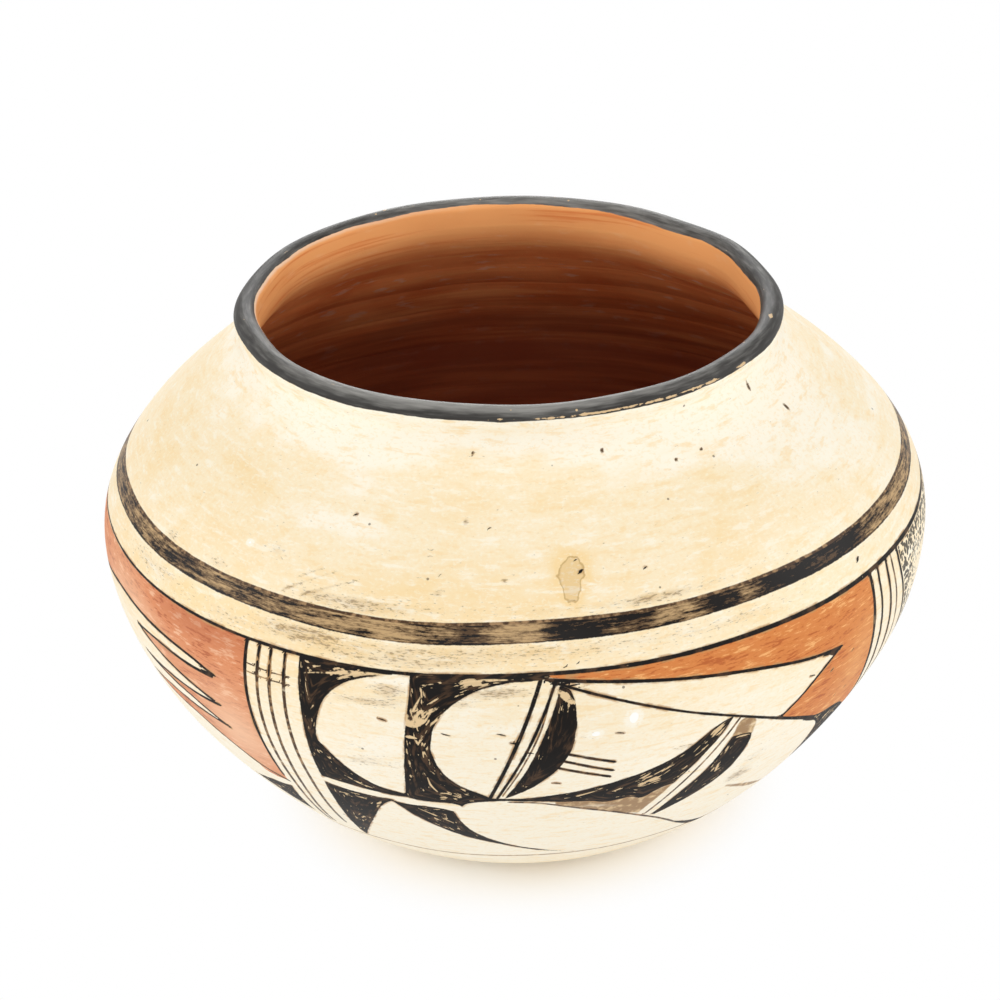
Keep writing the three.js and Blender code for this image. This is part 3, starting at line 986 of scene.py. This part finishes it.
def slip_coat(f):
    """Polished slip: colour, roughness and height, with level wiping streaks, ochre clouds, resin, soot
    and specks, and painted light that makes it paler below the belly and under the lip. Near the ground
    its ragged edge leaves the clay bare."""
    wipe = f.grain(75, 5, (0.22, 0.22, 3.4))
    cloud = f.grain(19, 5, (1, 1, 1.5))
    blotch = f.grain(170, 5, (0.7, 0.7, 1.3))
    wisps = f.grain(700, 6, (0.2, 0.2, 1.2), 0.6)
    fine = f.grain(1300, 5, (0.7, 0.7, 1.2), 0.6)
    # The kept stain also holds painted light: its pale hills under the lip paint the slip paler there
    stain_and_light = f.kept("stain_and_light")
    ochre = f.weigh((stain_and_light, 0.20), (cloud, 1.0), (blotch, 0.45), (wipe, 0.42))
    above_ground = f.above_ground()
    # Painted light: the slip is painted paler below the belly, down to near the foot, standing in for
    # light thrown up from the card
    low = f.rise(above_ground, 96 * MM, 62 * MM, 0.8)
    low = f.times(low, f.rise(above_ground, 9 * MM, 26 * MM))
    resin = f.weigh((stain_and_light, 1.0), (f.grain(330, 5), 5.0), plus=-4.2)
    resin_edge = f.times(f.rise(resin, 1.3, 1.7, 0.5), f.rise(resin, 2.4, 1.8))
    smudge = f.times(f.kept("smudge"), f.grain(330, 6, (0.35, 0.35, 1.5), 0.65))
    soot = f.weigh((smudge, 0.24), (f.grain(3000, 3, (0.22, 0.22, 1.0), 0.6), 1.0))
    colour = f.layered(
        SLIP,
        (SLIP_OCHRE, ochre, 0.92, 1.32),
        (SLIP_PALE, ochre, 0.91, 0.68),
        # painted light below the belly
        (SLIP_PALE, low),
        (SLIP_OCHRE, wisps, 0.53, 0.66, 0.55),
        (SLIP_PALE, wisps, 0.46, 0.35, 0.60),
        (SLIP_OCHRE, fine, 0.50, 0.68, 0.36),
        (SLIP_PALE, fine, 0.48, 0.32, 0.45),
        (RESIN, resin, 1.2, 1.7, 0.22),
        (RESIN, resin_edge),
        (CHALK, stain_and_light, -3.7, -4.4),
        (SMUDGE, smudge, 0.25, 1.0, 0.42),
        (SOOT, soot, 0.66, 0.80, 0.55),
        (SPECK, soot, 0.95, 1.10, 0.9),
        (SPECK, f.dots(95), 0.040, 0.026, 0.7),
    )
    height = f.weigh((fine, 0.012), (wipe, 0.06), (blotch, 0.03))
    edge = f.weigh((wipe, 5.0), (above_ground, 1 / MM))
    coated = f.rise(edge, *SLIP_ENDS)
    clay_colour, clay_roughness, clay_height = bare_clay(f)
    colour = f.layered(clay_colour, (colour, coated))
    roughness = f.blend(coated, clay_roughness, f.blend(cloud, 0.50, 0.36))
    return colour, roughness, f.blend(coated, clay_height, height)


BLACK, BLACK_THIN, FRINGE = seen(18, 14, 12), seen(74, 54, 38), seen(186, 144, 96)
BROWN, BROWN_THIN = seen(74, 54, 38), seen(160, 128, 92)
BAND_BROWN, BAND_PALE = seen(82, 62, 43), seen(192, 160, 116)
RED, RED_DEEP, RED_PALE = seen(216, 138, 94), seen(180, 98, 62), seen(244, 196, 160)
ORANGE, ORANGE_DEEP, ORANGE_PALE = seen(210, 126, 62), seen(182, 92, 38), seen(236, 172, 106)
TAN = seen(226, 197, 153)
EDGE_SOFT = 0.12  # half the width of a paint's soft edge, in millimetres
COVERS = 0.97  # how much the red and the orange hide of the slip
PAINT_RISE = 0.03  # how far the paint stands on the slip, in millimetres

f = Finish(bpy.data.materials.new("painted_slip"))
slip_colour, slip_roughness, slip_height = slip_coat(f)
ragged = f.weigh((f.grain(1500, 2), 0.26), (f.grain(240, 2), 0.44), plus=-0.35)
bristle = f.grain(300, 5, (0.3, 0.3, 1.7))
mottle = f.grain(520, 3)


def covered(depth, soft=EDGE_SOFT):
    """Where a paint covers: its depth, made ragged, steps up over a soft edge."""
    return f.rise(f.math("ADD", depth, ragged), -soft, soft)


def line_depth(name):
    """The depth inside the nearest line of a paint: half its width less the distance to its
    middle, but only where the kept depth says that a line is near."""
    aside = f.math("ABSOLUTE", f.kept(name + "_across"))
    depth = f.math("SUBTRACT", f.kept(name + "_half"), aside)
    return f.math("MINIMUM", depth, f.weigh((f.depth(name + "_near"), 2.0), plus=0.6))


def line_covered(name):
    """Where the lines of a paint cover: as `covered`, but a steadier brush has drawn them."""
    return f.rise(f.weigh((line_depth(name), 1.0), (ragged, 0.5)), -EDGE_SOFT, EDGE_SOFT)


def brushed(scale):
    """Noise in streaks that follow a black shape's edge, as a brush does: the place is drawn
    out, and most of the depth inside the shape is added to it."""
    across = f.times(f.kept("black"), 0.6 * MM)
    across = f.node("CombineXYZ", {"X": across, "Y": across, "Z": across})
    return f.grain(scale, 4, (0.3, 0.3, 0.3), moved=across)


# Red and orange: laid on in strokes, rubbed pale or left thick where the wear says so
strokes = f.weigh(
    (f.grain(300, 5, (0.5, 0.5, 1.5)), 0.4), (f.grain(1700, 7, (0.17, 0.17, 1.1), 0.7), 0.6),
)
deep, pale = f.rise(strokes, 0.47, 0.41), f.rise(strokes, 0.535, 0.60)
rubbed = f.times(f.kept("worn"), 0.8)
red = covered(f.depth("red"))
red_paint = f.layered(
    RED, (RED_DEEP, deep), (RED_PALE, f.times(pale, 0.7)),
    (RED_PALE, rubbed), (RED_DEEP, f.times(rubbed, -1.0)),
)
orange = covered(f.depth("orange"))
orange_paint = f.layered(
    ORANGE, (ORANGE_DEEP, deep), (ORANGE_PALE, pale), (ORANGE_PALE, f.times(rubbed, 0.7)),
)
wash = f.times(covered(f.depth("wash"), 0.3), f.rise(bristle, 0.10, 0.45))

# The broad band: one brushful after another, thick and black or drawn out to a thin brown
drawn = f.grain(1000, 7, (0.10, 0.10, 1.6), 0.65)
lumps = f.grain(240, 6, (0.5, 0.5, 1.4), 0.6)
fine = f.grain(2200, 4, (0.3, 0.3, 1.3), 0.7)
thick = f.weigh((fine, 0.9), (lumps, 1.1), (drawn, 1.5), plus=-1.75)
edge = f.rise(f.weigh((f.depth("band"), 1.0), (ragged, 0.5)), 0.50, 0.22)
dark = f.weigh((f.kept("band_black"), 1.0), (thick, 1.0), (edge, 0.20))
darkest = f.weigh((dark, 1.0), (thick, 0.7))
band_paint = f.layered(BAND_PALE, (BAND_BROWN, dark, 0.06, 0.56), (BLACK, darkest, 0.61, 0.67))

# Black: streaked by the brush, flaked where it is worn, with a brown fringe that has bled
black_depth = f.math("MAXIMUM", f.depth("black"), line_depth("black"))
black = f.math("MAXIMUM", covered(f.depth("black")), line_covered("black"))
fringe = f.rise(f.math("ADD", black_depth, ragged), -0.60, -0.12, 0.8)
fringe = f.times(fringe, f.rise(f.grain(210, 2), 0.44, 0.62))
flecks = f.weigh((brushed(1300), 0.70), (f.grain(260, 4), 0.30), (f.kept("worn"), 0.15))
flaked = f.times(f.rise(flecks, 0.605, 0.635, 0.9), f.rise(black_depth, 0.35, 0.75))
left_bare = f.times(line_covered("bare"), f.rise(mottle, 0.35, 0.5))
black_paint = f.layered(
    BLACK, (BLACK_THIN, brushed(900), 0.48, 0.70), (TAN, flaked), (TAN, left_bare),
)
brown = f.times(line_covered("brown"), f.rise(bristle, 0.16, 0.42))

# Stipple: dots that are larger near the middle of their field
size = f.weigh((f.rise(f.depth("stipple"), 16.0, -4.0), 1.0), (f.grain(420, 1), 0.8))
dotted = f.rise(f.weigh((size, 0.46), (f.dots(860), -1.0)), -0.05, 0.05, 0.9)
dotted = f.times(dotted, covered(f.depth("stipple")))

colour = f.layered(
    slip_colour,
    (red_paint, f.times(red, COVERS)),
    (orange_paint, f.times(orange, COVERS)),
    (f.layered(BROWN_THIN, (TAN, mottle, 0.45, 0.75)), wash),
    (band_paint, covered(f.depth("band"))),
    (f.layered(BROWN, (BROWN_THIN, mottle, 0.45, 0.65)), brown),
    (FRINGE, fringe),
    (black_paint, black),
    (BLACK, dotted),
)
painted_over = f.math("MAXIMUM", black, f.math("MAXIMUM", red, orange))
roughness = f.blend(painted_over, slip_roughness, 0.55)
height = f.weigh((slip_height, 1.0), (painted_over, PAINT_RISE))
slip_finish = f.done(colour, roughness, height, specular=0.12)

f = Finish(bpy.data.materials.new("scraped_clay"))
clay_finish = f.done(*bare_clay(f), specular=0.14)

# The lip's black is wiped round with a finger, so its streaks run round the bead. It is dark
# outside, with a grey painted sheen on top that stands in for light reflected off the crest.
LIP_BLACK, LIP_SHEEN, LIP_WORN = seen(56, 54, 52), seen(150, 148, 143), seen(214, 184, 142)
f = Finish(bpy.data.materials.new("rim_paint"))
slip_colour, slip_roughness, slip_height = slip_coat(f)
clay_colour, clay_roughness, _ = bare_clay(f)
crest = f.kept("from_crest")
within = f.rise(crest, -0.5, -2.5)
over_lip = f.node("CombineXYZ", {"Z": f.times(crest, MM)})
streaks = f.grain(1100, 5, (0.12, 0.12, 0.0), moved=over_lip)
lip_depth = f.weigh((f.grain(260, 3), 0.5), (f.kept("lip_paint"), 1.0), plus=-0.25)
lipped = f.rise(lip_depth, -0.10, 0.10)
thin = f.times(f.rise(lip_depth, -1.3, -0.2, 0.55), f.times(f.kept("thin_wash"), within))
chipped = f.weigh((f.grain(520, 3), 0.5), (streaks, 0.5), (f.kept("lip_worn"), 0.26))
nicked = f.rise(f.dots(190), 0.070, 0.050)
chipped = f.math("MAXIMUM", f.rise(chipped, 0.66, 0.70), nicked)
# Painted highlight: a grey sheen near the crest of the bead, strongest in front
crest_sheen = f.times(f.weigh((f.kept("painted_sheen"), 0.50), plus=0.06), f.rise(crest, 4.0, 0.8))
sheen_share = f.weigh((crest_sheen, 1.0), (streaks, 0.85), plus=-0.28)
lip_black = f.layered(LIP_BLACK, (LIP_SHEEN, sheen_share, 0.10, 0.90), (LIP_WORN, chipped))
colour = f.layered(slip_colour, (clay_colour, within), (SLIP_PALE, thin), (lip_black, lipped))
roughness = f.blend(lipped, f.blend(within, slip_roughness, clay_roughness), 0.48)
height = f.weigh((slip_height, 1.0), (lipped, PAINT_RISE), (streaks, 0.05))
lip_finish = f.done(colour, roughness, height, specular=0.10)

slipped = [(piece, slip_finish) for piece in [base, *(coil for coil, *_ in coils.values())]]
for piece, finish in [*slipped, (rim, lip_finish)]:
    piece.data.materials.append(finish)
    piece.data.materials.append(clay_finish)


# The table and the light
# The jar stands on white card that turns paper-white away from it, in soft light from large
# white panels all round and overhead.
CARD_SIZE = 6.0
CARD_DIFFUSE_TO, CARD_WHITE_FROM = 0.047, 0.077  # distances from the jar's axis
CARD_LIGHT = 0.95  # how much of its white the card gives the jar
WHITE = (1.0, 1.0, 1.0, 1.0)
corners = [(-1, -1), (1, -1), (1, 1), (-1, 1)]
mesh = bpy.data.meshes.new("card")
mesh.from_pydata([(x * CARD_SIZE / 2, y * CARD_SIZE / 2, 0) for x, y in corners], [], [(0, 1, 2, 3)])
card = placed("card", mesh)

f = Finish(bpy.data.materials.new("card"))
away = f.node("VectorMath", {0: f.place}, out="Value", operation="LENGTH")
far = f.rise(away, CARD_DIFFUSE_TO, CARD_WHITE_FROM)
plain = f.node("BsdfDiffuse", {"Color": seen(252, 252, 252)})
glow = f.blend(f.seen_white(), CARD_LIGHT, 1.0)
bright = f.node("Emission", {"Color": WHITE, "Strength": glow})
card.data.materials.append(f.end(f.node("MixShader", {0: far, 1: plain, 2: bright})))

ROOM_LIGHT = 0.27  # how much light the white room gives the jar
f = Finish(bpy.data.worlds.new("white room"))
glow = f.blend(f.seen_white(), ROOM_LIGHT, 1.0)
room = f.node("Background", {"Color": WHITE, "Strength": glow})
bpy.context.scene.world = f.end(room, "OutputWorld")

PANEL_SIZE = 0.65
PANELS_FACE = Vector((0, 0, 0.08))
PANELS = [  # place and watts
    ("left panel", (-1.00, -0.15, 0.50), 4.7),
    ("right panel", (1.00, -0.15, 0.50), 4.7),
    ("front panel", (0.0, -1.15, 0.52), 5.1),
    ("back panel", (0.0, 1.10, 0.50), 6.0),
    ("overhead panel", (0.0, 0.0, 1.25), 3.0),
]
for name, place, watts in PANELS:
    lamp = bpy.data.lights.new(name, "AREA")
    lamp.size = PANEL_SIZE
    lamp.energy = watts
    facing = (Vector(place) - PANELS_FACE).to_track_quat("Z", "Y")
    light = placed(name, lamp)
    light.matrix_world = Matrix.Translation(place) @ facing.to_matrix().to_4x4()

bpy.context.scene.view_settings.view_transform = "Standard"
